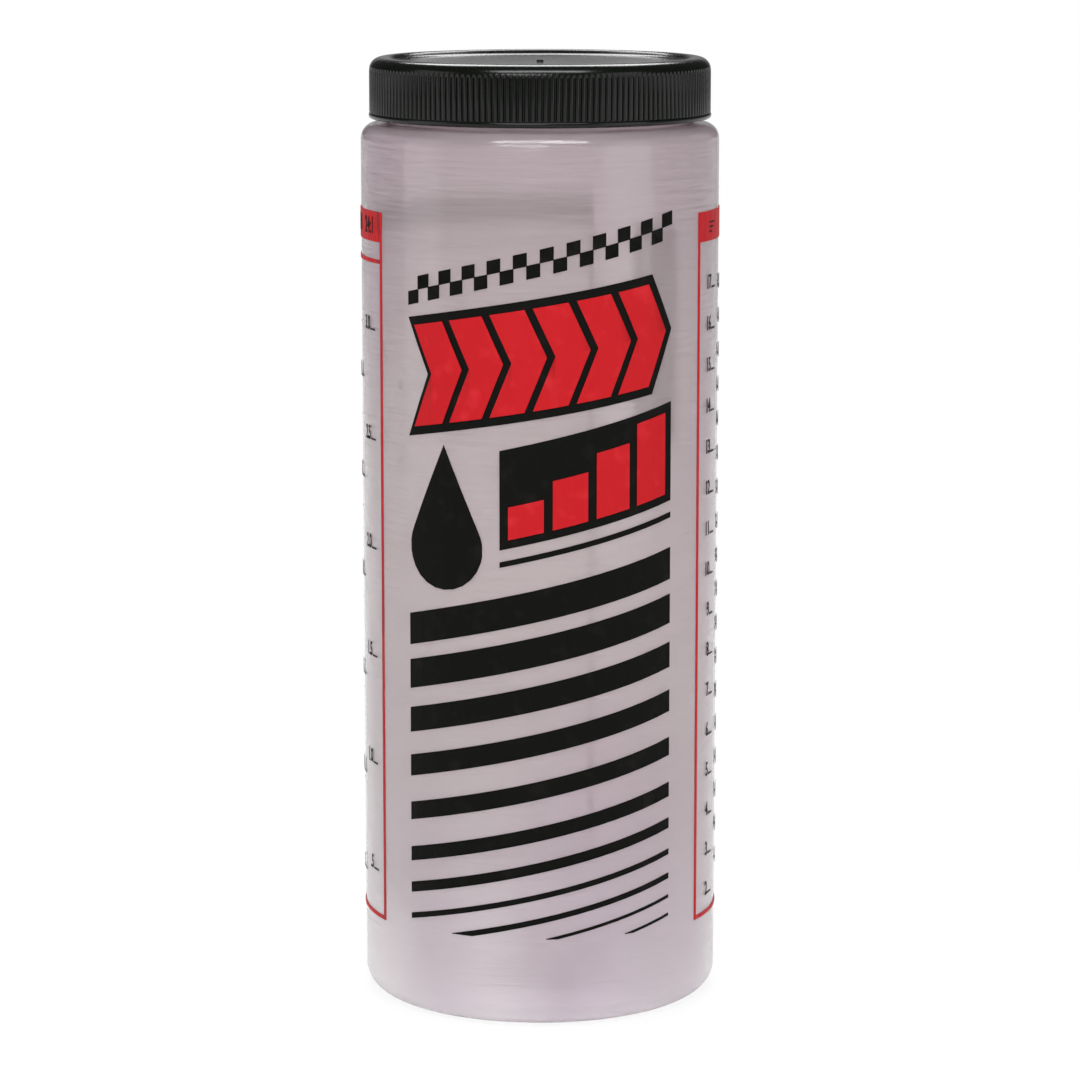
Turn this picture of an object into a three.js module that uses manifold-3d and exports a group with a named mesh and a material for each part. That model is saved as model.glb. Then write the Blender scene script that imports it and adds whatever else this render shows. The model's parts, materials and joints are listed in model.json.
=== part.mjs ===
// Wide-mouth measuring bottle for mixing oil into fuel, with a ribbed screw cap.
// Millimetres, +Z up. The origin is the centre of the base, on the surface it stands on,
// and the printed front faces -Y.
import * as THREE from "three";
import { mergeVertices } from "three/addons/utils/BufferGeometryUtils.js";
import Module from "manifold-3d";

const wasm = await Module();
wasm.setup();

// Blow-moulded bottle
const bodyDiameter = 70.5;
const bodyWall = 1.1;
const shoulderHeight = 174.3;
const shoulderRadius = 3;
const shoulderLedge = 2.45;
const shoulderWall = 1.5;
const baseCornerRadius = 4.7;
const standingRingWidth = 3;
const baseRampWidth = 2.6;
const basePushUp = 1.6;
const baseDome = 1.2;
const baseWall = 1.4;
const pinchRidgeLength = 40;
const pinchRidgeWidth = 0.9;
const pinchRidgeHeight = 0.5;
const bottleFacets = 64;

// Threaded neck
const neckHeight = 9.6;
const neckWall = 1.9;
const neckFillet = 0.6;
const rimRound = 0.5;
const threadPitch = 4.23;
const threadHeight = 1.3;
const threadRootWidth = 2.3;
const threadCrestWidth = 0.8;
const threadTopMargin = 2.2;
const threadFootMargin = 2.6;
const threadFadeAngle = THREE.MathUtils.degToRad(20);
const threadSink = 0.4;

// Screw cap
const capWall = 2.15;
const capStandoff = 0.9;
const capTopWall = 1.4;
const capRimHeight = 1;
const capRimWidth = 1.4;
const capCornerRadius = 1.75;
const capDishRamp = 1.5;
const capBeadHeight = 1.1;
const capBeadRadius = 0.7;
const capBeadRelief = 0.12;
const capLeadIn = 0.4;
const capThreadFootMargin = 1.5;
const ribCount = 174;
const ribDepth = 0.38;
const ribCrestShare = 0.42;
const gateDiameter = 1.3;
const gateHeight = 0.45;

// Liner and clearances
const linerThickness = 0.8;
const linerClearance = 0.3;
const threadCrestClearance = 0.3;
const threadRootClearance = 0.35;
const flankClearance = 0.3;

// Screen print. The artwork is drawn in millimetres, across from the middle of the front and
// up from the foot of the print, and is laid on the wall between the base and the shoulder.
const artworkWidth = 56;
const artworkHeight = 141.8;
const artworkAngle = THREE.MathUtils.degToRad(91);
const printBottom = 17.1;
const printTopMargin = 16.3;
const inkThickness = 0.12;
const inkGap = 0.05;

const bodyRadius = bodyDiameter / 2;
const neckRadius = bodyRadius - shoulderRadius - shoulderLedge;
const mouthRadius = neckRadius - neckWall;
const rimHeight = shoulderHeight + neckHeight;
const threadRadius = neckRadius + threadHeight;
const threadTop = rimHeight - threadTopMargin;
const threadBottom = shoulderHeight + threadFootMargin;
const capBoreRadius = threadRadius + threadCrestClearance;
const capRadius = capBoreRadius + capWall;
const capBottom = shoulderHeight + capStandoff;
const capCeiling = rimHeight + linerThickness;
const capPanel = capCeiling + capTopWall;
const capTop = capPanel + capRimHeight;
const capFacets = ribCount / 3;

const plastic = (color, roughness, opacity = 1) =>
  new THREE.MeshStandardMaterial({
    color,
    roughness,
    metalness: 0,
    opacity,
    transparent: opacity < 1,
  });
const bottleFinish = plastic(0xcfc6cb, 0.38, 0.9);
const capFinish = plastic(0x141614, 0.42);
const linerFinish = plastic(0xe8e6df, 0.85);
const blackInk = plastic(0x151613, 0.5);
const redInk = plastic(0xcf1f28, 0.5);

const part = new THREE.Group();

function addPiece(name, geometry, material) {
  const mesh = new THREE.Mesh(geometry, material);
  mesh.name = name;
  part.add(mesh);
}

// Solids and how they join

function solidOf(geometry) {
  const bare = geometry.clone();
  bare.deleteAttribute("normal");
  bare.deleteAttribute("uv");
  const merged = mergeVertices(bare, 1e-4);
  return new wasm.Manifold(
    new wasm.Mesh({
      numProp: 3,
      vertProperties: new Float32Array(merged.attributes.position.array),
      triVerts: new Uint32Array(merged.index.array),
    }),
  );
}

function geometryOf(solid) {
  const mesh = solid.getMesh();
  const geometry = new THREE.BufferGeometry();
  geometry.setAttribute("position", new THREE.BufferAttribute(mesh.vertProperties, 3));
  geometry.setIndex(new THREE.BufferAttribute(mesh.triVerts, 1));
  geometry.computeVertexNormals();
  return geometry;
}

const joined = (geometries) =>
  geometryOf(geometries.map(solidOf).reduce((whole, next) => whole.add(next)));

// Points of a profile, given by their radius and height, and along an arc between two angles
// in degrees from the outward direction.
const at = (radius, height) => new THREE.Vector2(radius, height);

function arc(centreRadius, centreHeight, radius, from, to, steps) {
  return Array.from({ length: steps + 1 }, (_, i) => {
    const angle = THREE.MathUtils.degToRad(from + ((to - from) * i) / steps);
    return at(centreRadius + radius * Math.cos(angle), centreHeight + radius * Math.sin(angle));
  });
}

// A turned solid, whose profile runs from the bottom up on its outside.
const turned = (profile, facets) =>
  new THREE.LatheGeometry(profile, facets).rotateX(Math.PI / 2);

// A point by its angle from the front towards +X, its radius and its height.
const polar = (angle, radius, height) =>
  new THREE.Vector3(radius * Math.sin(angle), -radius * Math.cos(angle), height);

// A solid skinned over a row of four-cornered sections.
function lofted(sections) {
  const corners = 4;
  const indices = [];
  const last = (sections.length - 1) * corners;
  for (let ring = 0; ring < last; ring += corners) {
    for (let j = 0; j < corners; j++) {
      const here = ring + j;
      const beside = ring + ((j + 1) % corners);
      indices.push(here, beside, beside + corners);
      indices.push(here, beside + corners, here + corners);
    }
  }
  indices.push(0, 2, 1, 0, 3, 2);
  indices.push(last, last + 1, last + 2, last, last + 2, last + 3);
  const positions = sections.flat().flatMap((point) => point.toArray());
  const geometry = new THREE.BufferGeometry();
  geometry.setAttribute("position", new THREE.Float32BufferAttribute(positions, 3));
  geometry.setIndex(indices);
  return geometry;
}

// A right-hand thread ridge from one height to another, with ends that fade into the wall.
// side is 1 for a ridge round the outside of a neck and -1 for one in a bore.
function threadRidge(wallRadius, side, crestRadius, from, to, heightAtFront) {
  const angleAt = (height) => ((height - heightAtFront) / threadPitch) * 2 * Math.PI;
  const start = angleAt(from);
  const end = angleAt(to);
  const steps = Math.ceil((end - start) / ((2 * Math.PI) / bottleFacets));
  const sunk = wallRadius - side * threadSink;
  const faded = wallRadius - (side * threadSink) / 2;
  const root = threadRootWidth / 2;
  const sections = Array.from({ length: steps + 1 }, (_, i) => {
    const angle = start + ((end - start) * i) / steps;
    const height = from + ((to - from) * i) / steps;
    const rise = Math.min(1, (angle - start) / threadFadeAngle, (end - angle) / threadFadeAngle);
    const crest = THREE.MathUtils.lerp(faded, crestRadius, rise);
    const half = THREE.MathUtils.lerp(root, threadCrestWidth / 2, rise);
    const section = [
      polar(angle, sunk, height - root),
      polar(angle, sunk, height + root),
      polar(angle, crest, height + half),
      polar(angle, crest, height - half),
    ];
    return side > 0 ? section : section.reverse();
  });
  return lofted(sections);
}

// Bottle

function bottleProfile() {
  const ringOuter = bodyRadius - baseCornerRadius;
  const ringInner = ringOuter - standingRingWidth;
  const panel = ringInner - baseRampWidth;
  const domeMiddle = panel / 2;
  const domeRise = baseDome * 0.75;
  const innerRadius = bodyRadius - bodyWall;
  const innerCorner = baseCornerRadius - bodyWall;
  const innerShoulder = shoulderHeight - shoulderWall;
  const innerRound = shoulderRadius - bodyWall;
  return [
    at(0, basePushUp + baseDome),
    at(domeMiddle, basePushUp + domeRise),
    at(panel, basePushUp),
    at(ringInner, 0),
    ...arc(ringOuter, baseCornerRadius, baseCornerRadius, -90, 0, 5),
    ...arc(bodyRadius - shoulderRadius, shoulderHeight - shoulderRadius, shoulderRadius, 0, 90, 4),
    at(neckRadius + neckFillet, shoulderHeight),
    at(neckRadius, shoulderHeight + neckFillet),
    ...arc(neckRadius - rimRound, rimHeight - rimRound, rimRound, 0, 90, 2),
    at(mouthRadius + rimRound, rimHeight),
    at(mouthRadius, rimHeight - rimRound),
    at(mouthRadius, innerShoulder),
    ...arc(innerRadius - innerRound, innerShoulder - innerRound, innerRound, 90, 0, 2),
    ...arc(innerRadius - innerCorner, baseWall + innerCorner, innerCorner, 0, -90, 3),
    at(ringInner, baseWall),
    at(panel, basePushUp + baseWall),
    at(domeMiddle, basePushUp + domeRise + baseWall),
    at(0, basePushUp + baseDome + baseWall),
  ];
}

// The line where the two halves of the mould pinch the parison shut under the base.
function pinchRidge() {
  const bottom = basePushUp + baseDome * 0.75 - pinchRidgeHeight;
  const height = pinchRidgeHeight + baseWall / 2;
  return new THREE.BoxGeometry(pinchRidgeLength, pinchRidgeWidth, height)
    .translate(0, 0, bottom + height / 2);
}

const neckThread = threadRidge(neckRadius, 1, threadRadius, threadBottom, threadTop, threadTop);
const bottle = joined([turned(bottleProfile(), bottleFacets), neckThread, pinchRidge()]);
addPiece("bottle", bottle, bottleFinish);

// Foam liner, between the rim and the ceiling of the cap

const linerRadius = capBoreRadius - linerClearance;
const liner = turned(
  [
    at(0, rimHeight),
    at(linerRadius, rimHeight),
    at(linerRadius, capCeiling),
    at(0, capCeiling),
  ],
  bottleFacets,
);
addPiece("cap_liner", joined([liner]), linerFinish);

// Cap

// The grip is a ring of flat-topped ribs with a V groove between each two.
function ribbedBand() {
  const outline = Array.from({ length: ribCount }, (_, i) => {
    const angle = (share) => ((i + share) * 2 * Math.PI) / ribCount;
    return [
      polar(angle(-ribCrestShare / 2), capRadius, 0),
      polar(angle(ribCrestShare / 2), capRadius, 0),
      polar(angle(0.5), capRadius - ribDepth, 0),
    ];
  });
  const bottom = capBottom + capBeadHeight / 2;
  return new THREE.ExtrudeGeometry(new THREE.Shape(outline.flat()), {
    depth: capTop - bottom,
    bevelEnabled: false,
  }).translate(0, 0, bottom);
}

// The rounded top edge that the ribs run out in, the raised rim and the dished panel.
function capEnvelope() {
  const stock = capRadius + ribDepth;
  const cornerCentre = capRadius - capCornerRadius;
  const cornerHeight = capTop - capCornerRadius;
  const dishEdge = cornerCentre - capRimWidth;
  return [
    at(0, capBottom),
    at(stock, capBottom),
    at(stock, cornerHeight - ribDepth),
    at(capRadius, cornerHeight),
    ...arc(cornerCentre, cornerHeight, capCornerRadius, 45, 90, 2),
    at(dishEdge, capTop),
    at(dishEdge - capDishRamp / 2, capPanel + capRimHeight * 0.3),
    at(dishEdge - capDishRamp, capPanel),
    at(0, capPanel),
  ];
}

// The smooth rounded bead under the ribs.
function capBead() {
  const beadRadius = capRadius + capBeadRelief;
  const beadTop = capBottom + capBeadHeight;
  return [
    at(0, capBottom),
    ...arc(beadRadius - capBeadRadius, capBottom + capBeadRadius, capBeadRadius, -90, 0, 3),
    at(beadRadius, beadTop - capBeadRelief),
    at(beadRadius - capBeadRelief / 2, beadTop),
    at(0, beadTop),
  ];
}

function capCavity() {
  return [
    at(0, capBottom - capLeadIn),
    at(capBoreRadius + 2 * capLeadIn, capBottom - capLeadIn),
    at(capBoreRadius, capBottom + capLeadIn),
    at(capBoreRadius, capCeiling),
    at(0, capCeiling),
  ];
}

// The cap's ridge runs under the neck's, so that the flanks that carry the pull face each other.
function capThread() {
  const meanRidgeWidth = (threadRootWidth + threadCrestWidth) / 2;
  const heightAtFront = threadTop - meanRidgeWidth - flankClearance;
  return threadRidge(
    capBoreRadius,
    -1,
    neckRadius + threadRootClearance,
    capBottom + capThreadFootMargin,
    heightAtFront + threadPitch / 4,
    heightAtFront,
  );
}

// The mark that the injection gate leaves in the middle of the panel.
function gateMark() {
  const radius = gateDiameter / 2;
  const foot = capPanel - capTopWall / 2;
  const top = capPanel + gateHeight;
  return turned([at(0, foot), at(radius, foot), at(radius, top), at(0, top)], 12);
}

const cap = solidOf(ribbedBand())
  .intersect(solidOf(turned(capEnvelope(), capFacets)))
  .add(solidOf(turned(capBead(), capFacets)))
  .subtract(solidOf(turned(capCavity(), bottleFacets)))
  .add(solidOf(capThread()))
  .add(solidOf(gateMark()));
addPiece("screw_cap", geometryOf(cap), capFinish);

// Print

const printHeight = shoulderHeight - printTopMargin - printBottom;
const artworkFacet = (artworkWidth / artworkAngle) * ((2 * Math.PI) / bottleFacets);

// A field of ink between two edges, whose heights depend on the place across. corners are the
// places where an edge starts, bends or ends, and layer is 1 for ink that lies on other ink.
function inkField(corners, lower, upper, layer = 0) {
  const inner = bodyRadius + inkGap + layer * (inkThickness + inkGap);
  const outer = inner + inkThickness;
  const places = corners.slice(0, 1);
  for (let i = 1; i < corners.length; i++) {
    const span = corners[i] - corners[i - 1];
    const steps = Math.ceil(span / artworkFacet);
    for (let j = 1; j <= steps; j++) {
      places.push(corners[i - 1] + (span * j) / steps);
    }
  }
  const sections = places.map((across) => {
    const angle = (across / artworkWidth) * artworkAngle;
    const low = printBottom + (lower(across) / artworkHeight) * printHeight;
    const high = printBottom + (upper(across) / artworkHeight) * printHeight;
    return [
      polar(angle, inner, low),
      polar(angle, inner, high),
      polar(angle, outer, high),
      polar(angle, outer, low),
    ];
  });
  return lofted(sections);
}

// The front artwork rises to the right by one slope.
const artRise = 13.05;
const artSlope = artRise / artworkWidth;
const artHalf = artworkWidth / 2;
const sloped = (height) => (across) => height + artSlope * across;

// Stripes from the top down, each with its thickness and the bare gap under it. The lowest ones
// are cut off level.
const stripeTop = 70.6;
const stripeFloor = 0.9;
const stripeEndThickness = 0.12;
const stripes = [
  [6.3, 2.95], [5.8, 3.8], [5, 4.55], [4.3, 5.25], [3.6, 5.45], [2.9, 4.3],
  [2.1, 4.2], [1.15, 3.75], [1.15, 3.3], [0.65, 3.1], [0.55, 0],
];

function stripeField(bottom, top) {
  const placeOf = (height) => (stripeFloor - height) / artSlope;
  const left = Math.max(-artHalf, placeOf(top - stripeEndThickness));
  const bend = Math.max(left, placeOf(bottom));
  const corners = bend > left ? [left, bend, artHalf] : [left, artHalf];
  const lower = (across) => Math.max(stripeFloor, sloped(bottom)(across));
  return inkField(corners, lower, sloped(top));
}

let stripeEdge = stripeTop;
stripes.forEach(([thickness, gap], i) => {
  addPiece(`print_stripe_${i + 1}`, stripeField(stripeEdge - thickness, stripeEdge), blackInk);
  stripeEdge -= thickness + gap;
});

// Arrow plate with a row of chevrons on it
const plateRise = 9.4;
const plateSlope = plateRise / artworkWidth;
const plateCentre = 115.4;
const plateHalf = 11.6;
const plateHead = 5;
const plateMargin = 1.7;
const arrowTip = 0.05;
const chevronCount = 6;
const chevronGap = 1.6;

// A field with a notch at its left end and a point at its right one, in two halves that meet
// on its middle line.
function arrowField({ left, right, head, half, layer }) {
  const middle = (across) => plateCentre + plateSlope * across;
  const notch = (across) => half * Math.max(0, 1 - (across - left) / head);
  const point = (across) => half * Math.min(1, (right - across) / head);
  const corners = [left, left + head, right - head, right - arrowTip].sort((a, b) => a - b);
  const upperHalf = inkField(
    corners,
    (across) => middle(across) + notch(across) - arrowTip,
    (across) => middle(across) + point(across),
    layer,
  );
  const lowerHalf = inkField(
    corners,
    (across) => middle(across) - point(across),
    (across) => middle(across) - notch(across) + arrowTip,
    layer,
  );
  return joined([upperHalf, lowerHalf]);
}

const arrowPlate = { left: -artHalf, right: artHalf, head: plateHead, half: plateHalf, layer: 0 };
addPiece("print_arrow_plate", arrowField(arrowPlate), blackInk);

const chevronHalf = plateHalf - plateMargin;
const chevronHead = plateHead * (chevronHalf / plateHalf);
const chevronRun = artworkWidth - 2 * plateMargin - chevronHead;
const chevronPitch = (chevronRun + chevronGap) / chevronCount;
for (let i = 0; i < chevronCount; i++) {
  const left = -artHalf + plateMargin + i * chevronPitch;
  const right = left + chevronPitch - chevronGap + chevronHead;
  const chevron = arrowField({ left, right, head: chevronHead, half: chevronHalf, layer: 1 });
  addPiece(`print_chevron_${i + 1}`, chevron, redInk);
}

// Chequered strip, two rows of squares that touch at their corners
const chequerRows = 2;
const chequerColumns = 22;
const chequerBase = 131.2;
const chequerSquare = artworkWidth / chequerColumns;
const chequerTouch = 0.06;
const squares = Array.from({ length: chequerColumns }, (_, column) => {
  const left = -artHalf + column * chequerSquare;
  const low = chequerBase + (column % chequerRows) * chequerSquare;
  return inkField(
    [left - chequerTouch, left + chequerSquare + chequerTouch],
    sloped(low - chequerTouch),
    sloped(low + chequerSquare + chequerTouch),
  );
});
addPiece("print_chequer_strip", joined(squares), blackInk);

// Oil drop: a round bowl whose two straight flanks meet in a point
const dropAcross = -19.4;
const dropHeight = 77.8;
const dropRadius = 8.2;
const dropReach = 20.2;
const dropSteps = 12;
const dropEdgeInset = 0.08;

function dropField() {
  const flankStart = dropRadius * Math.sqrt(1 - (dropRadius / dropReach) ** 2);
  const flankDrop = dropReach - dropRadius ** 2 / dropReach;
  const places = Array.from({ length: dropSteps + 1 }, (_, i) => {
    const out = -Math.cos((Math.PI * i) / dropSteps);
    return dropAcross + out * (dropRadius - dropEdgeInset);
  });
  const bowl = (out) => Math.sqrt(dropRadius ** 2 - out ** 2);
  const flank = (out) => dropReach - (flankDrop * out) / flankStart;
  const lower = (across) => dropHeight - bowl(across - dropAcross);
  const upper = (across) => {
    const out = Math.abs(across - dropAcross);
    return dropHeight + (out < flankStart ? flank(out) : bowl(out));
  };
  return inkField(places, lower, upper);
}

addPiece("print_oil_drop", joined([dropField()]), blackInk);

// Gauge plate with bars that step up to the right
const gaugeLeft = -7.8;
const gaugeBase = 79.9;
const gaugeHeight = 19.4;
const gaugeMargin = 1.7;
const gaugeBarCount = 4;
const gaugeBarGap = 1.7;
const gaugeLowestBar = 6.4;
const gaugePlate = inkField(
  [gaugeLeft, artHalf],
  sloped(gaugeBase),
  sloped(gaugeBase + gaugeHeight),
);
addPiece("print_gauge_plate", gaugePlate, blackInk);

const gaugeRun = artHalf - gaugeLeft - 2 * gaugeMargin;
const gaugePitch = (gaugeRun + gaugeBarGap) / gaugeBarCount;
for (let i = 0; i < gaugeBarCount; i++) {
  const left = gaugeLeft + gaugeMargin + i * gaugePitch;
  const foot = gaugeBase + gaugeMargin;
  const tallest = gaugeHeight - 2 * gaugeMargin;
  const tall = THREE.MathUtils.lerp(gaugeLowestBar, tallest, i / (gaugeBarCount - 1));
  const places = [left, left + gaugePitch - gaugeBarGap];
  addPiece(`print_gauge_bar_${i + 1}`, inkField(places, sloped(foot), sloped(foot + tall), 1), redInk);
}

// Thin rule under the gauge plate
const ruleBase = 76.5;
const ruleThickness = 1.1;
const rule = inkField([gaugeLeft, artHalf], sloped(ruleBase), sloped(ruleBase + ruleThickness));
addPiece("print_rule", rule, blackInk);

// Measuring panels round the sides and the back: a red head over a framed field of columns.
// Their places are angles from the middle of the front.
const panelLine = 0.8;
const panelHead = 5.9;
const panelSubhead = 10.1;
const volumePanel = [60, 98];
const ratioPanel = [161.5, 300];
const acrossPerDegree = artworkWidth / THREE.MathUtils.radToDeg(artworkAngle);

const levelField = (left, right, low, high) => inkField([left, right], () => low, () => high);

function measuringPanel([from, to], lines) {
  const left = from * acrossPerDegree;
  const right = to * acrossPerDegree;
  const frame = [
    levelField(left, right, artworkHeight - panelHead, artworkHeight),
    levelField(left, right, 0, panelLine),
    levelField(left, left + panelLine, 0, artworkHeight),
    levelField(right - panelLine, right, 0, artworkHeight),
  ];
  return joined([...frame, ...lines.map((low) => levelField(left, right, low, low + panelLine))]);
}

addPiece("print_volume_panel", measuringPanel(volumePanel, []), redInk);
addPiece("print_ratio_panel", measuringPanel(ratioPanel, [artworkHeight - panelSubhead]), redInk);

// Red field on the rear right, where the directions for use stand
const noticePlace = [126, 146.5];
const noticeLow = 92;
const noticeHigh = 136;
const [noticeLeft, noticeRight] = noticePlace.map((angle) => angle * acrossPerDegree);
const notice = levelField(noticeLeft, noticeRight, noticeLow, noticeHigh);
addPiece("print_notice_field", notice, redInk);

export default part;
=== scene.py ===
import json
import math

import bpy
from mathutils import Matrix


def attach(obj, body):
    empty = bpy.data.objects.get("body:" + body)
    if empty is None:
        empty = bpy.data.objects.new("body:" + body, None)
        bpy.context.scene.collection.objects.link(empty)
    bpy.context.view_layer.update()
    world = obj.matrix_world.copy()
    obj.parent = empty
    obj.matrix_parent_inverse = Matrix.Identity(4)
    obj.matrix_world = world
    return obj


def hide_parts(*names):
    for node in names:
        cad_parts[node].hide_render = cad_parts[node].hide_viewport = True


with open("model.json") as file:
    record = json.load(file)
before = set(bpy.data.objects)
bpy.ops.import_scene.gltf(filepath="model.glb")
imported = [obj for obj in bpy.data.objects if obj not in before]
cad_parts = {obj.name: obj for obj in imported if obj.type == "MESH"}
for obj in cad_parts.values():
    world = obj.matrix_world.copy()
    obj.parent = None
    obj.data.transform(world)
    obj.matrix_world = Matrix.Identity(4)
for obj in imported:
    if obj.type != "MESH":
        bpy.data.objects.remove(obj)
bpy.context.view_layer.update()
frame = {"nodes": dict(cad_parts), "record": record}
nodes = frame["nodes"]

# Studio: a white table top and backdrop, a camera a little above the bottle, and soft lamps in
# front, above, behind and at both sides that leave the edges of the bottle darker.
CAMERA_DISTANCE = 0.79
CAMERA_HEIGHT = 0.2259
CAMERA_TILT = math.radians(80.3)
CAMERA_LENS = 133.4
WHITE = (1.0, 1.0, 1.0, 1.0)

scene = bpy.context.scene
scene.view_settings.view_transform = "Standard"

bpy.ops.object.camera_add(location=(0, -CAMERA_DISTANCE, CAMERA_HEIGHT),
                          rotation=(CAMERA_TILT, 0, 0))
camera = bpy.context.object
camera.name = "camera"
camera.data.lens = CAMERA_LENS
camera.data.sensor_width = 36.0
camera.data.clip_start = 0.01
scene.camera = camera


def soft_lamp(name, place, aim, size, power):
    bpy.ops.object.light_add(type="AREA", location=place)
    lamp = bpy.context.object
    lamp.name = name
    lamp.data.shape = "RECTANGLE"
    lamp.data.size, lamp.data.size_y = size
    lamp.data.energy = power
    x, y, z = [a - b for a, b in zip(aim, place)]
    tilt = math.atan2(math.hypot(x, y), -z)
    heading = math.atan2(y, x) - math.pi / 2
    lamp.rotation_euler = (tilt, 0, heading)


soft_lamp("lamp_front", (-0.25, -1.2, 0.75), (0, 0, 0.1), (0.7, 0.5), 7)
soft_lamp("lamp_left", (-0.9, -0.15, 0.35), (0, 0, 0.1), (0.5, 0.8), 1.3)
soft_lamp("lamp_right", (0.8, -0.5, 0.35), (0, 0, 0.1), (0.6, 0.8), 2)
soft_lamp("lamp_top", (0, -0.42, 0.85), (0, 0, 0.15), (0.7, 0.2), 5.5)
soft_lamp("lamp_back", (0, 0.8, 1.0), (0, 0, 0.1), (0.8, 0.5), 11)

# The world is plain white to the eye and dimmer where it only lights. The plastic lets through,
# and mirrors, only the white backdrop behind the bottle: to the sides and behind the camera the
# room is dim, which draws the bottle's edges darker.
ROOM_LIGHT = 0.3
GLOSS_DIMMING = 0.26
BACKDROP_IN_GLOSS = 0.35
FLOOR_IN_GLOSS = 0.5
FLOOR_COLOR = (0.86, 0.86, 0.86, 1)
FLOOR_SIZE = 60
SHADOW_WEIGHT = 0.12


def give(tree, socket, value):
    """Link a socket to another one, or set it to a plain value."""
    if isinstance(value, bpy.types.NodeSocket):
        tree.links.new(value, socket)
    else:
        socket.default_value = value


def math_node(tree, operation, *values):
    node = tree.nodes.new("ShaderNodeMath")
    node.operation = operation
    for socket, value in zip(node.inputs, values):
        give(tree, socket, value)
    return node.outputs[0]


def mixed_shaders(tree, share, first, second):
    mix = tree.nodes.new("ShaderNodeMixShader")
    for socket, value in zip(mix.inputs, (share, first, second)):
        give(tree, socket, value)
    return mix.outputs[0]


def between(tree, value, low, high, top=1.0):
    """Nought below one value, rising softly to the top above another."""
    span = tree.nodes.new("ShaderNodeMapRange")
    span.interpolation_type = "SMOOTHSTEP"
    span.inputs["From Min"].default_value = low
    span.inputs["From Max"].default_value = high
    span.inputs["To Max"].default_value = top
    tree.links.new(value, span.inputs["Value"])
    return span.outputs[0]


world = bpy.data.worlds.new("studio_white")
scene.world = world
world.use_nodes = True
sky = world.node_tree
sky.nodes.clear()
sky_out = sky.nodes.new("ShaderNodeOutputWorld")
seen = sky.nodes.new("ShaderNodeBackground")
lighting = sky.nodes.new("ShaderNodeBackground")
seen.inputs["Color"].default_value = lighting.inputs["Color"].default_value = WHITE
sky_rays = sky.nodes.new("ShaderNodeLightPath").outputs
sky_place = sky.nodes.new("ShaderNodeTexCoord")
sky_axes = sky.nodes.new("ShaderNodeSeparateXYZ")
sky.links.new(sky_place.outputs["Generated"], sky_axes.inputs[0])
rearward = sky_axes.outputs["Y"]
give(sky, lighting.inputs["Strength"],
     math_node(sky, "MULTIPLY_ADD", sky_rays["Is Glossy Ray"], -GLOSS_DIMMING, ROOM_LIGHT))
mirrored = math_node(sky, "MULTIPLY", sky_rays["Is Glossy Ray"],
                     between(sky, rearward, 0.94, 0.995, BACKDROP_IN_GLOSS))
let_through = math_node(sky, "MULTIPLY", sky_rays["Is Transmission Ray"],
                        between(sky, rearward, 0.1, 0.75))
white_rays = math_node(sky, "MAXIMUM", sky_rays["Is Camera Ray"], let_through)
white_rays = math_node(sky, "MAXIMUM", white_rays, mirrored)
sky.links.new(mixed_shaders(sky, white_rays, lighting.outputs[0], seen.outputs[0]),
              sky_out.inputs[0])

# The floor is seen white, and a share of matt white round the bottle keeps its soft shadow.
bpy.ops.mesh.primitive_plane_add(size=FLOOR_SIZE)
floor = bpy.context.object
floor.name = "floor"
floor_paint = bpy.data.materials.new("floor_paint")
floor_paint.use_nodes = True
paint = floor_paint.node_tree
paint.nodes.clear()
paint_out = paint.nodes.new("ShaderNodeOutputMaterial")
matt = paint.nodes.new("ShaderNodeBsdfDiffuse")
matt.inputs["Color"].default_value = FLOOR_COLOR
glow = paint.nodes.new("ShaderNodeEmission")
glow.inputs["Strength"].default_value = 1.0
floor_rays = paint.nodes.new("ShaderNodeLightPath").outputs
mirrored_floor = math_node(paint, "MULTIPLY", floor_rays["Is Glossy Ray"], FLOOR_IN_GLOSS)
seen_rays = math_node(paint, "MAXIMUM", floor_rays["Is Camera Ray"], mirrored_floor)
seen_rays = math_node(paint, "MAXIMUM", seen_rays, floor_rays["Is Transmission Ray"])
floor_place = paint.nodes.new("ShaderNodeTexCoord")
reach = paint.nodes.new("ShaderNodeVectorMath")
reach.operation = "LENGTH"
paint.links.new(floor_place.outputs["Object"], reach.inputs[0])
clear_of_shadow = between(paint, reach.outputs["Value"], 0.05, 0.22)
white_share = math_node(paint, "MULTIPLY_ADD", clear_of_shadow, SHADOW_WEIGHT, 1 - SHADOW_WEIGHT)
share = math_node(paint, "MULTIPLY", seen_rays, white_share)
paint.links.new(mixed_shaders(paint, share, matt.outputs[0], glow.outputs[0]), paint_out.inputs[0])
floor.data.materials.append(floor_paint)

# Bottle: blow-moulded in milky polyethylene, so its wall is thin, softly see-through and faintly
# rippled. The base is pushed up inside a standing ring, and the neck carries the thread.
MM = 0.001
BODY_RADIUS = 35.25
BODY_WALL = 1.1
SHOULDER = 174.3
SHOULDER_ROUND = 3.0
SHOULDER_WALL = 1.5
INNER_SHOULDER_ROUND = 1.9
NECK_RADIUS = 29.8
NECK_FILLET = 0.6
MOUTH_RADIUS = 27.9
RIM = 183.9
LIP_ROUND = 0.5
BASE_ROUND = 4.7
BASE_RING = 27.55
BASE_WALL = 1.4
INNER_BASE_ROUND = 3.6
PUSH_UP = 1.6
PUSH_UP_RADIUS = 24.95
HUB_RADIUS = 12.4
HUB_RISE = 0.9
PINCH_LINE_SIZE = (38, 1.0, 0.8)
PINCH_LINE_LEVEL = 2.45
THREAD_PITCH = 4.23
THREAD_FOOT = 1.15
THREAD_CREST = 0.4
THREAD_STEPS = 96
THREAD_FADE = 24
THREAD_TIP = 4
BOTTLE_STEPS = 192


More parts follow.
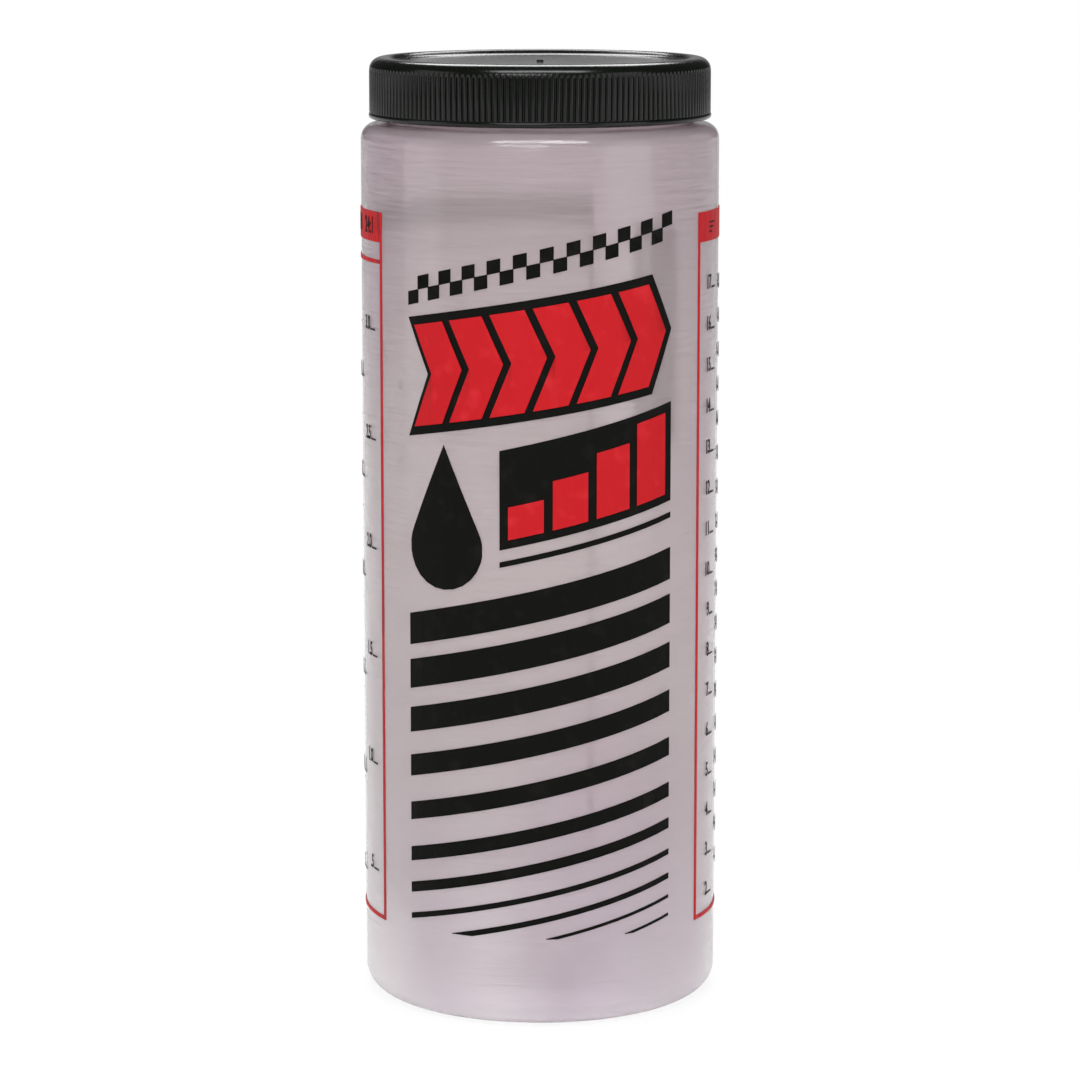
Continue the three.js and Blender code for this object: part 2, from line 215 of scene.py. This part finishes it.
def arc(centre, radius, start, end, steps):
    """Points of a profile, in millimetres, along an arc from one angle to another in degrees."""
    angles = [math.radians(start + (end - start) * i / steps) for i in range(steps + 1)]
    return [(centre[0] + radius * math.cos(a), centre[1] + radius * math.sin(a)) for a in angles]


def turned(name, profile, steps):
    """Raise a ring of points through the radii and heights of a profile and close both its ends."""
    bpy.ops.object.select_all(action="DESELECT")
    radius, height = profile[0]
    bpy.ops.mesh.primitive_circle_add(vertices=steps, radius=radius * MM, fill_type="TRIFAN",
                                      location=(0, 0, height * MM))
    piece = bpy.context.object
    piece.name = name
    bpy.ops.object.mode_set(mode="EDIT")
    bpy.ops.mesh.region_to_loop()
    for next_radius, next_height in profile[1:]:
        rise = (0, 0, (next_height - height) * MM)
        bpy.ops.mesh.extrude_region_move(TRANSFORM_OT_translate={"value": rise})
        if next_radius != radius:
            grow = next_radius / radius
            bpy.ops.transform.resize(value=(grow, grow, 1))
        radius, height = next_radius, next_height
    bpy.ops.mesh.extrude_region_move()
    bpy.ops.mesh.merge(type="CENTER")
    bpy.ops.mesh.select_all(action="SELECT")
    bpy.ops.mesh.normals_make_consistent(inside=False)
    bpy.ops.object.mode_set(mode="OBJECT")
    bpy.ops.object.transform_apply(location=True, rotation=True, scale=True)
    return piece


def thread_ridge(name, wall, crest, low, high, front_height):
    """A right-hand ridge between two radii, swept up round the axis, with ends that fade."""
    turns = (high - low) / THREAD_PITCH
    steps = int(turns * THREAD_STEPS)
    start = (low - front_height) / THREAD_PITCH * 2 * math.pi - math.pi / 2
    bpy.ops.object.select_all(action="DESELECT")
    bpy.ops.mesh.primitive_plane_add(size=1)
    ridge = bpy.context.object
    ridge.name = name
    corners = [(wall, -THREAD_FOOT), (crest, -THREAD_CREST),
               (wall, THREAD_FOOT), (crest, THREAD_CREST)]
    for vertex, (radius, height) in zip(ridge.data.vertices, corners):
        place = (radius * math.cos(start), radius * math.sin(start), low + height)
        vertex.co = [value * MM for value in place]
    sweep = ridge.modifiers.new("sweep", "SCREW")
    sweep.angle = 2 * math.pi * turns
    sweep.screw_offset = (high - low) * MM
    sweep.steps = sweep.render_steps = steps
    bpy.ops.object.modifier_apply(modifier="sweep")
    for vertex in ridge.data.vertices:
        radius = math.hypot(vertex.co.x, vertex.co.y) / MM
        side = 1 if crest > wall else -1
        if (radius - wall) * side < 0.5:
            continue
        turned_by = (vertex.co.z / MM - low) / (high - low) * turns * 360
        to_end = min(turned_by + THREAD_TIP, turns * 360 - turned_by + THREAD_TIP)
        fade = min(1, to_end / THREAD_FADE)
        shrink = (wall + (radius - wall) * max(fade, 0.02)) / radius
        vertex.co.x *= shrink
        vertex.co.y *= shrink
    bpy.ops.object.mode_set(mode="EDIT")
    bpy.ops.mesh.select_all(action="SELECT")
    bpy.ops.mesh.remove_doubles(threshold=1e-7)
    bpy.ops.mesh.normals_make_consistent(inside=False)
    bpy.ops.object.mode_set(mode="OBJECT")
    return ridge


def joined(name, *pieces):
    bpy.ops.object.select_all(action="DESELECT")
    for piece in pieces:
        piece.select_set(True)
    bpy.context.view_layer.objects.active = pieces[0]
    if len(pieces) > 1:
        bpy.ops.object.join()
    pieces[0].name = name
    return pieces[0]


def smoothed(piece, degrees):
    bpy.ops.object.select_all(action="DESELECT")
    piece.select_set(True)
    bpy.context.view_layer.objects.active = piece
    bpy.ops.object.shade_smooth_by_angle(angle=math.radians(degrees))


shoulder_centre = (BODY_RADIUS - SHOULDER_ROUND, SHOULDER - SHOULDER_ROUND)
inner_radius = BODY_RADIUS - BODY_WALL
inner_shoulder = SHOULDER - SHOULDER_WALL
bottle_profile = (
    [(HUB_RADIUS, PUSH_UP + HUB_RISE), (PUSH_UP_RADIUS, PUSH_UP), (26.0, 1.15), (27.1, 0.25)]
    + [(BASE_RING + 0.5, 0)]
    + arc((BODY_RADIUS - BASE_ROUND, BASE_ROUND), BASE_ROUND, -90, 0, 12)
    + arc(shoulder_centre, SHOULDER_ROUND, 0, 90, 10)
    + arc((NECK_RADIUS + NECK_FILLET, SHOULDER + NECK_FILLET), NECK_FILLET, -90, -180, 4)
    + arc((NECK_RADIUS - LIP_ROUND, RIM - LIP_ROUND), LIP_ROUND, 0, 90, 4)
    + arc((MOUTH_RADIUS + LIP_ROUND, RIM - LIP_ROUND), LIP_ROUND, 90, 180, 4)
    + [(MOUTH_RADIUS, inner_shoulder)]
    + arc((inner_radius - INNER_SHOULDER_ROUND, inner_shoulder - INNER_SHOULDER_ROUND),
          INNER_SHOULDER_ROUND, 90, 0, 5)
    + arc((inner_radius - INNER_BASE_ROUND, BASE_WALL + INNER_BASE_ROUND),
          INNER_BASE_ROUND, 0, -90, 8)
    + [(BASE_RING, BASE_WALL), (PUSH_UP_RADIUS, PUSH_UP + BASE_WALL)]
    + [(HUB_RADIUS, PUSH_UP + HUB_RISE + BASE_WALL)]
)
bottle_shell = turned("bottle_shell", bottle_profile, BOTTLE_STEPS)
neck_ridge = thread_ridge("neck_ridge", NECK_RADIUS - 0.3, NECK_RADIUS + 1.3, 176.9, 181.7, 181.7)

# The line under the base where the two halves of the mould pinched the soft tube shut.
bpy.ops.object.select_all(action="DESELECT")
bpy.ops.mesh.primitive_cube_add(size=1, location=(0, 0, PINCH_LINE_LEVEL * MM))
pinch_line = bpy.context.object
bpy.ops.transform.resize(value=[length * MM for length in PINCH_LINE_SIZE])
bpy.ops.object.transform_apply(location=True, rotation=True, scale=True)
pinch_round = pinch_line.modifiers.new("round", "BEVEL")
pinch_round.width = 0.3 * MM
pinch_round.segments = 3
bpy.ops.object.modifier_apply(modifier="round")

bottle = joined("moulded_bottle", bottle_shell, neck_ridge, pinch_line)
smoothed(bottle, 40)


def paint_over(piece, material):
    piece.data.materials.clear()
    piece.data.materials.append(material)


def new_material(name):
    material = bpy.data.materials.new(name)
    material.use_nodes = True
    tree = material.node_tree
    tree.nodes.clear()
    out = tree.nodes.new("ShaderNodeOutputMaterial")
    skin = tree.nodes.new("ShaderNodeBsdfPrincipled")
    tree.links.new(skin.outputs[0], out.inputs[0])
    return material, tree, skin, out


def noise_on(tree, scale, size, detail=4.0):
    """Noise over the piece, stretched by a scale for each axis."""
    place = tree.nodes.new("ShaderNodeTexCoord")
    mapping = tree.nodes.new("ShaderNodeMapping")
    mapping.inputs["Scale"].default_value = scale
    noise = tree.nodes.new("ShaderNodeTexNoise")
    noise.inputs["Scale"].default_value = size
    noise.inputs["Detail"].default_value = detail
    tree.links.new(place.outputs["Object"], mapping.inputs[0])
    tree.links.new(mapping.outputs[0], noise.inputs["Vector"])
    return noise.outputs["Fac"]


def ramp_of(tree, factor, first, second, start=0.3, end=0.7):
    ramp = tree.nodes.new("ShaderNodeValToRGB")
    low, high = ramp.color_ramp.elements
    low.position, high.position = start, end
    low.color, high.color = first, second
    tree.links.new(factor, ramp.inputs[0])
    return ramp.outputs[0]


def bump_on(tree, skin, height, strength, distance):
    bump = tree.nodes.new("ShaderNodeBump")
    bump.inputs["Strength"].default_value = strength
    bump.inputs["Distance"].default_value = distance
    tree.links.new(height, bump.inputs["Height"])
    tree.links.new(bump.outputs[0], skin.inputs["Normal"])
    return bump.outputs[0]


MILKINESS = 0.25
milky, tree, skin, out = new_material("milky_polyethylene")
skin.inputs["Roughness"].default_value = 0.02
skin.inputs["IOR"].default_value = 1.3
skin.inputs["Transmission Weight"].default_value = 0.8
skin.inputs["Coat Weight"].default_value = 0.7
skin.inputs["Coat Roughness"].default_value = 0.15
skin.inputs["Coat IOR"].default_value = 1.5
heights = tree.nodes.new("ShaderNodeTexCoord")
axes = tree.nodes.new("ShaderNodeSeparateXYZ")
tree.links.new(heights.outputs["Object"], axes.inputs[0])
cloud = noise_on(tree, (1, 1, 0.35), 26, 3)
uneven_height = math_node(tree, "MULTIPLY_ADD", cloud, 0.06, axes.outputs["Z"])
# Painted light over the plastic's own lavender tone: the wall colour is painted lighter towards the
# foot, in place of the white table's light shining up through it, and darker higher up as painted
# shade.
tone_and_painted_light = ramp_of(tree, uneven_height, (1.0, 0.98, 0.99, 1), (0.75, 0.685, 0.705, 1), 0.025, 0.19)
for level, color in ((0.038, (0.90, 0.865, 0.88, 1)), (0.05, (0.795, 0.75, 0.765, 1)),
                     (0.085, (0.765, 0.71, 0.72, 1)), (0.11, (0.785, 0.73, 0.735, 1))):
    tone_and_painted_light.node.color_ramp.elements.new(level).color = color
smudge = ramp_of(tree, noise_on(tree, (1, 1, 0.6), 17, 2),
                 (1.0, 1.0, 0.995, 1), (0.955, 0.915, 0.96, 1), 0.42, 0.68)
smudged = tree.nodes.new("ShaderNodeMix")
smudged.data_type = "RGBA"
smudged.blend_type = "MULTIPLY"
smudged.inputs["Factor"].default_value = 1.0
tree.links.new(tone_and_painted_light, smudged.inputs["A"])
tree.links.new(smudge, smudged.inputs["B"])
tone_and_painted_light = smudged.outputs["Result"]
tree.links.new(tone_and_painted_light, skin.inputs["Base Color"])
ripple = noise_on(tree, (70, 70, 1000), 1.0, 4)
gloss_normal = bump_on(tree, skin, ripple, 0.5, 0.0003)
tree.links.new(gloss_normal, skin.inputs["Coat Normal"])
through = tree.nodes.new("ShaderNodeBsdfTranslucent")
tree.links.new(tone_and_painted_light, through.inputs["Color"])
tree.links.new(mixed_shaders(tree, MILKINESS, skin.outputs[0], through.outputs[0]), out.inputs[0])
paint_over(bottle, milky)
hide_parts("bottle")
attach(bottle, "bottle")

# Screw cap: injection-moulded in black polypropylene, with a ring of fine grip ribs over a smooth
# bead, a raised rim round a dished panel, and the gate's mark in the middle.
CAP_RADIUS = 33.55
CAP_BOTTOM = 175.2
CAP_TOP = 187.1
CAP_PANEL = 186.1
CAP_CEILING = 184.7
CAP_BORE = 31.4
CAP_CORNER = 2.45
BEAD_ROUND = 0.6
BEAD_TOP = 176.3
RIB_COUNT = 174
RIB_DEPTH = 0.42
POINTS_A_RIB = 6
GROOVE_SHARES = (0.0, 0.0, 0.25, 1.0, 1.0, 0.25)
GROOVE_RUN_OUT = 0.45

band_low, band_high = BEAD_TOP + 0.25, CAP_TOP - 2.6
cap_profile = (
    [(0.5, CAP_PANEL + 0.42), (0.64, CAP_PANEL + 0.3), (0.7, CAP_PANEL)]
    + [(14.0, CAP_PANEL), (28.2, CAP_PANEL), (28.8, CAP_PANEL + 0.08), (29.3, CAP_PANEL + 0.4)]
    + [(29.7, CAP_PANEL + 0.82), (30.1, CAP_TOP - 0.03), (30.5, CAP_TOP), (31.0, CAP_TOP)]
    + arc((CAP_RADIUS - CAP_CORNER, CAP_TOP - CAP_CORNER), CAP_CORNER, 82, 14, 8)
    + [(CAP_RADIUS - 0.03, band_high + 0.22), (CAP_RADIUS, band_high)]
    + [(CAP_RADIUS, 180.9), (CAP_RADIUS, band_low), (CAP_RADIUS - 0.1, BEAD_TOP + 0.1)]
    + arc((CAP_RADIUS - 0.2, BEAD_TOP - 0.32), 0.32, 80, 0, 5)
    + arc((CAP_RADIUS - 0.48, CAP_BOTTOM + BEAD_ROUND), BEAD_ROUND, 0, -90, 6)
    + [(CAP_BORE + 0.4, CAP_BOTTOM), (CAP_BORE, CAP_BOTTOM + 0.4), (CAP_BORE, CAP_CEILING)]
    + [(15.0, CAP_CEILING)]
)
cap_shell = turned("cap_shell", cap_profile, RIB_COUNT * POINTS_A_RIB)
for vertex in cap_shell.data.vertices:
    height = vertex.co.z / MM
    radius = math.hypot(vertex.co.x, vertex.co.y) / MM
    if radius < CAP_RADIUS - 0.2 or not band_low - 0.01 < height < band_high + 0.3:
        continue
    turn = (math.atan2(vertex.co.x, vertex.co.y) / (2 * math.pi)) % 1
    place = round(turn * RIB_COUNT * POINTS_A_RIB) % POINTS_A_RIB
    groove = GROOVE_RUN_OUT if height > band_high + 0.1 else 1.0
    shrink = 1 - RIB_DEPTH * GROOVE_SHARES[place] * groove / radius
    vertex.co.x *= shrink
    vertex.co.y *= shrink
cap_ridge = thread_ridge("cap_ridge", CAP_BORE + 0.3, 30.15, 176.7, 180.9, 179.85)
cap = joined("ribbed_cap", cap_shell, cap_ridge)
smoothed(cap, 28)

black_plastic, tree, skin, _ = new_material("black_polypropylene")
skin.inputs["IOR"].default_value = 1.49
skin.inputs["Specular IOR Level"].default_value = 0.28
haze = noise_on(tree, (1, 1, 1), 60, 5)
tree.links.new(ramp_of(tree, haze, (0.0025, 0.0035, 0.0025, 1), (0.004, 0.005, 0.004, 1)),
               skin.inputs["Base Color"])
tree.links.new(ramp_of(tree, haze, (0.15, 0.15, 0.15, 1), (0.23, 0.23, 0.23, 1)),
               skin.inputs["Roughness"])
grain = noise_on(tree, (1, 1, 1), 2600, 2)
bump_on(tree, skin, grain, 0.12, 0.00005)
paint_over(cap, black_plastic)
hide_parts("screw_cap")
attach(cap, "cap")


# Liner: a disc punched from white foamed polyethylene sheet, which lies in the top of the cap and
# seals on the rim. Its edge shows only when the cap is off.
def dressed_copy(node, name, material, body):
    """A merged and smoothly shaded copy of a solid, in its place, with its own finish."""
    copy = nodes[node].copy()
    copy.data = nodes[node].data.copy()
    copy.name = name
    for modifier in list(copy.modifiers):
        copy.modifiers.remove(modifier)
    scene.collection.objects.link(copy)
    copy.parent = None
    bpy.ops.object.select_all(action="DESELECT")
    copy.select_set(True)
    bpy.context.view_layer.objects.active = copy
    bpy.ops.object.mode_set(mode="EDIT")
    bpy.ops.mesh.select_all(action="SELECT")
    bpy.ops.mesh.remove_doubles(threshold=1e-6)
    bpy.ops.object.mode_set(mode="OBJECT")
    smoothed(copy, 30)
    paint_over(copy, material)
    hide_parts(node)
    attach(copy, body)


foam, tree, skin, _ = new_material("white_foam")
skin.inputs["Roughness"].default_value = 0.85
cells = noise_on(tree, (1, 1, 1), 900, 3)
tree.links.new(ramp_of(tree, cells, (0.74, 0.73, 0.69, 1), (0.86, 0.85, 0.81, 1)),
               skin.inputs["Base Color"])
bump_on(tree, skin, cells, 0.3, 0.0001)
dressed_copy("cap_liner", "foam_liner", foam, "liner")


# Screen print: opaque black and red ink laid on the wall, a little uneven where the screen let
# less of it through.
def ink(name, thin, full, roughness):
    material, tree, skin, _ = new_material(name)
    skin.inputs["Roughness"].default_value = roughness
    skin.inputs["Specular IOR Level"].default_value = 0.08
    cover = noise_on(tree, (1, 1, 1), 260, 6)
    tree.links.new(ramp_of(tree, cover, thin, full, 0.28, 0.45), skin.inputs["Base Color"])
    mesh_marks = noise_on(tree, (1, 1, 1), 3000, 2)
    bump_on(tree, skin, mesh_marks, 0.08, 0.00004)
    return material


black_ink = ink("black_ink", (0.006, 0.0055, 0.005, 1), (0.0025, 0.0028, 0.002, 1), 0.6)
red_ink = ink("red_ink", (0.47, 0.016, 0.022, 1), (0.41, 0.009, 0.013, 1), 0.5)
finish_of_slot = {"black_ink": black_ink, "red_ink": red_ink}
for row in frame["record"]["subparts"]:
    node, slot = row["node"], row["material_slot"]
    if slot in finish_of_slot:
        dressed_copy(node, node.replace("print_", "ink_"), finish_of_slot[slot], "bottle")

# Scale numbers: the same black ink. Beside each number stands a short dash at the level that it
# names, and each column of the rear panel is headed by its mixing ratio.
INK_RADIUS = 35.42
OUNCE_FOOT = 4.8
OUNCE_RISE = 8.12
OUNCES_A_GALLON = 128
MILLILITRES_AN_OUNCE = 29.574
FIRST_OUNCE, LAST_OUNCE = 2, 17
NUMBER_SIZE = 3.9
NUMBER_NARROWING = 0.7
NUMBER_WEIGHT = 0.06
INK_HALF_DEPTH = 0.03
DASH_LENGTH = 2.4
DASH_THICKNESS = 0.34
DASH_EDGE = 0.8
NUMBER_EDGE = DASH_EDGE - 0.4
FIRST_MILLILITRES, LAST_MILLILITRES, MILLILITRES_STEP = 75, 500, 25
LAST_FINE_RATIO = 32
VOLUME_COLUMN = 70.3
MILLILITRE_COLUMN = 89.0
RATIO_COLUMN = -70.0
RATIO_STEP = 13.6
RATIOS = (24, 26, 28, 30, 32, 36, 40, 44, 50, 60)
HEAD_LEVEL = 153.7
HEAD_SIZE = 4.6
HEAD_BAR_STEP = 0.9
marks = []


def laid_on_wall(piece, degrees, height):
    """Wrap a flat mark, drawn in millimetres round its own origin, on to the wall."""
    for vertex in piece.data.vertices:
        x, y, z = vertex.co
        turn = math.radians(degrees) + x / INK_RADIUS
        radius = (INK_RADIUS + z) * MM
        vertex.co = (radius * math.sin(turn), -radius * math.cos(turn), (height + y) * MM)
    marks.append(piece)


def number(text, degrees, height, size=NUMBER_SIZE, align="RIGHT"):
    bpy.ops.object.select_all(action="DESELECT")
    bpy.ops.object.text_add()
    piece = bpy.context.object
    piece.data.body = text
    piece.data.size = size
    piece.data.align_x = align
    piece.data.extrude = INK_HALF_DEPTH
    piece.data.offset = NUMBER_WEIGHT
    piece.data.resolution_u = 3
    bpy.ops.object.convert(target="MESH")
    piece = bpy.context.object
    for vertex in piece.data.vertices:
        vertex.co.x *= NUMBER_NARROWING
    laid_on_wall(piece, degrees, height)


def dash(degrees, height, length=DASH_LENGTH):
    bpy.ops.object.select_all(action="DESELECT")
    bpy.ops.mesh.primitive_cube_add(size=1)
    piece = bpy.context.object
    for vertex in piece.data.vertices:
        x, y, z = vertex.co
        vertex.co = ((x + 0.5) * length, (y + 0.5) * DASH_THICKNESS, z * 2 * INK_HALF_DEPTH)
    laid_on_wall(piece, degrees, height)


def level_mark(text, column, ounces):
    height = OUNCE_FOOT + OUNCE_RISE * ounces
    number(text, column + NUMBER_EDGE, height)
    dash(column + DASH_EDGE, height)


for ounce in range(FIRST_OUNCE, LAST_OUNCE + 1):
    level_mark(str(ounce), VOLUME_COLUMN, ounce)
for millilitres in range(FIRST_MILLILITRES, LAST_MILLILITRES + 1, MILLILITRES_STEP):
    level_mark(str(millilitres), MILLILITRE_COLUMN, millilitres / MILLILITRES_AN_OUNCE)
for i, ratio in enumerate(RATIOS):
    column = RATIO_COLUMN - i * RATIO_STEP
    number(f"{ratio}:1", column, HEAD_LEVEL, HEAD_SIZE, "CENTER")
    gallon_step = 0.5 if ratio <= LAST_FINE_RATIO else 1.0
    gallons = gallon_step
    while gallons * OUNCES_A_GALLON / ratio <= LAST_OUNCE:
        text = f"{gallons:.1f}".lstrip("0") if gallon_step < 1 else f"{gallons:.0f}"
        level_mark(text, column, gallons * OUNCES_A_GALLON / ratio)
        gallons += gallon_step

# A plain mark of three bars heads the volume column.
for i in range(3):
    rise = HEAD_BAR_STEP * i
    dash(VOLUME_COLUMN - 1.5, HEAD_LEVEL + 0.1 + rise, 1.3 + rise)

numbers = joined("scale_numbers", *marks)
paint_over(numbers, black_ink)
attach(numbers, "bottle")
